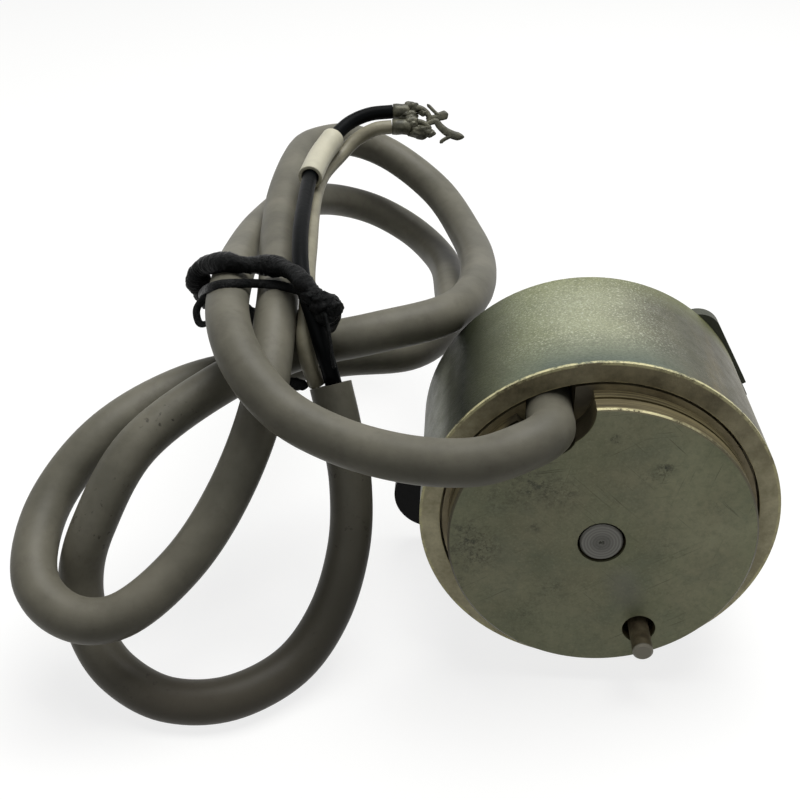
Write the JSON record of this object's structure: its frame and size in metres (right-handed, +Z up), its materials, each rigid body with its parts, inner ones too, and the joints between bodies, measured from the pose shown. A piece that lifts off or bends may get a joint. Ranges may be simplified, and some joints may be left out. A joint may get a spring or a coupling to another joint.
{
  "type": "push pull solenoid",
  "caption": "Round flanged push-pull solenoid lying on its side, with a spring-returned plunger, a guide pin and a tied two-core lead ending in crimp lugs.",
  "frame": {"origin": "centre of the flange's rear mounting face, on the shaft axis", "axes": "+Y out of the rear mounting face, so the shaft pushes towards -Y; +Z up as the housing lies on its side; +X to the right seen from the front"},
  "size_m": [0.1552, 0.1646, 0.0863],
  "materials": {
    "flange_black": "satin",
    "screw_steel": "satin",
    "plated_steel": "satin",
    "plated_ring": "satin",
    "plated_cap": "satin",
    "rubber_black": "matt",
    "brass": "satin",
    "bobbin_plastic": "matt",
    "copper_wire": "varnished",
    "tape_yellow": "gloss",
    "iron": "turned",
    "bronze": "turned",
    "splice_plastic": "matt",
    "shaft_steel": "turned",
    "arm_steel": "satin",
    "pin_steel": "satin",
    "spring_steel": "satin",
    "jacket_grey": "matt",
    "core_black": "satin",
    "core_white": "satin",
    "sleeve_cream": "matt",
    "tinned": "tinned",
    "tie_black": "matt"
  },
  "bodies": {
    "housing": {"mounting_flange": "flange_black", "flange_screws": "screw_steel", "rear_plate": "plated_ring", "housing_tube": "plated_steel", "damping_washer": "rubber_black", "guide_tube": "brass", "bobbin": "bobbin_plastic", "coil_winding": "copper_wire", "coil_tape": "tape_yellow", "front_pole": "iron", "shaft_bush": "bronze", "front_plate": "plated_ring", "front_cap": "plated_cap", "lead_splices": "splice_plastic", "return_spring": "spring_steel", "cable_jacket": "jacket_grey", "core_black": "core_black", "core_white": "core_white", "marker_sleeve": "sleeve_cream", "lug_black": "tinned", "lug_white": "tinned", "cable_tie": "tie_black"},
    "plunger_group": {"plunger": "iron", "shaft": "shaft_steel", "guide_arm": "arm_steel", "guide_pin": "pin_steel", "retaining_rings": "spring_steel"}
  },
  "joints": [
    {"name": "plunger_slide", "type": "slide", "parent": "housing", "child": "plunger_group", "axis": [0, -1, 0], "range_m": [0, 0.005], "stiffness_N_per_m": 400, "springref_m": -0.004, "deforming": ["return_spring"]}
  ]
}
